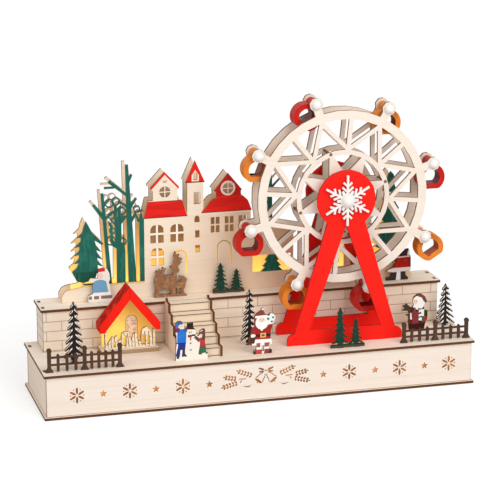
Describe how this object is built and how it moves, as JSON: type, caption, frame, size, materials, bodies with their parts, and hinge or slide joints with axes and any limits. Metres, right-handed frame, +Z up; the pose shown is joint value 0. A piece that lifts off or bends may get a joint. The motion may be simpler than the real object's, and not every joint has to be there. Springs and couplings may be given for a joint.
{
  "type": "christmas village with ferris wheel",
  "caption": "Lit plywood village on a two-level base with stairs, a stable, a painted backdrop and a ferris wheel that turns between A-shaped frames.",
  "frame": {"origin": "centre of the underside of the base", "axes": "+X to the right along the base as seen from the front, +Y towards the back, +Z up"},
  "size_m": [0.44, 0.114, 0.2941],
  "materials": {
    "birch_ply": "sanded plywood with dark cut edges",
    "brown_wood": "dark brown paint",
    "yellow_wood": "yellow paint",
    "red_wood": "bright red paint, satin",
    "orange_wood": "orange paint, satin",
    "white_wood": "white paint, satin",
    "green_wood": "green paint",
    "blue_wood": "blue paint",
    "tan_wood": "brown stain",
    "painted_backdrop": "painted red roofs and green trees on plywood",
    "black_plastic": "matt",
    "cell_steel": "satin",
    "lamp_strip": "warm white lamps"
  },
  "bodies": {
    "village": {"bottom_plate": "birch_ply", "base_front_panel": "birch_ply", "base_back_panel": "birch_ply", "base_left_panel": "birch_ply", "base_right_panel": "birch_ply", "lower_deck": "birch_ply", "terrace_front_wall": "birch_ply", "terrace_left_wall": "birch_ply", "terrace_right_wall": "birch_ply", "terrace_back_wall": "birch_ply", "terrace_deck": "birch_ply", "stair_left_cheek": "birch_ply", "stair_right_cheek": "birch_ply", "stair_step_1": "birch_ply", "stair_step_2": "birch_ply", "stair_step_3": "birch_ply", "stair_step_4": "birch_ply", "stair_step_5": "birch_ply", "stable_floor": "birch_ply", "nativity_figures": "birch_ply", "backdrop_rear": "birch_ply", "left_fence": "brown_wood", "right_fence": "brown_wood", "dark_fir_left": "brown_wood", "dark_fir_middle": "brown_wood", "dark_fir_right": "brown_wood", "stable_back_wall": "yellow_wood", "stable_roof_left": "red_wood", "stable_roof_right": "red_wood", "front_frame": "red_wood", "rear_frame": "red_wood", "snowman_group": "white_wood", "father_christmas": "red_wood", "small_firs": "green_wood", "sleigh_figure": "red_wood", "sledge_child": "blue_wood", "reindeer_pair": "tan_wood", "terrace_firs": "green_wood", "terrace_figure": "red_wood", "backdrop_front": "painted_backdrop", "battery_box": "black_plastic", "cell_1": "cell_steel", "cell_2": "cell_steel", "base_light_strip": "lamp_strip", "backdrop_light_strip": "lamp_strip"},
    "wheel": {"axle": "birch_ply", "snowflake": "white_wood", "axle_cap": "white_wood", "wheel_front_disc": "birch_ply", "wheel_rear_disc": "birch_ply"},
    "gondola_1": {"gondola_1": "red_wood"},
    "gondola_2": {"gondola_2": "orange_wood"},
    "gondola_3": {"gondola_3": "red_wood"},
    "gondola_4": {"gondola_4": "orange_wood"},
    "gondola_5": {"gondola_5": "red_wood"},
    "gondola_6": {"gondola_6": "orange_wood"},
    "gondola_7": {"gondola_7": "red_wood"},
    "gondola_8": {"gondola_8": "orange_wood"},
    "battery_lid": {"battery_lid": "black_plastic"},
    "switch_slider": {"switch_slider": "black_plastic"}
  },
  "joints": [
    {"name": "wheel_turn", "type": "hinge", "parent": "village", "child": "wheel", "pos_m": [0.0925, -0.0025, 0.1923], "axis": [0, 1, 0], "continuous": true},
    {"name": "gondola_1_swing", "type": "hinge", "parent": "wheel", "child": "gondola_1", "pos_m": [0.18732, -0.0025, 0.22075], "axis": [0, 1, 0], "continuous": true},
    {"name": "gondola_2_swing", "type": "hinge", "parent": "wheel", "child": "gondola_2", "pos_m": [0.13944, -0.0025, 0.27947], "axis": [0, 1, 0], "continuous": true},
    {"name": "gondola_3_swing", "type": "hinge", "parent": "wheel", "child": "gondola_3", "pos_m": [0.06405, -0.0025, 0.28712], "axis": [0, 1, 0], "continuous": true},
    {"name": "gondola_4_swing", "type": "hinge", "parent": "wheel", "child": "gondola_4", "pos_m": [0.00533, -0.0025, 0.23924], "axis": [0, 1, 0], "continuous": true},
    {"name": "gondola_5_swing", "type": "hinge", "parent": "wheel", "child": "gondola_5", "pos_m": [-0.00232, -0.0025, 0.16385], "axis": [0, 1, 0], "continuous": true},
    {"name": "gondola_6_swing", "type": "hinge", "parent": "wheel", "child": "gondola_6", "pos_m": [0.04557, -0.0025, 0.10513], "axis": [0, 1, 0], "continuous": true},
    {"name": "gondola_7_swing", "type": "hinge", "parent": "wheel", "child": "gondola_7", "pos_m": [0.12095, -0.0025, 0.09748], "axis": [0, 1, 0], "continuous": true},
    {"name": "gondola_8_swing", "type": "hinge", "parent": "wheel", "child": "gondola_8", "pos_m": [0.17967, -0.0025, 0.14536], "axis": [0, 1, 0], "continuous": true},
    {"name": "battery_lid_slide", "type": "slide", "parent": "village", "child": "battery_lid", "axis": [1, 0, 0], "range_m": [0, 0.05]},
    {"name": "switch_slide", "type": "slide", "parent": "village", "child": "switch_slider", "axis": [1, 0, 0], "range_m": [-0.0022, 0.0022]}
  ]
}
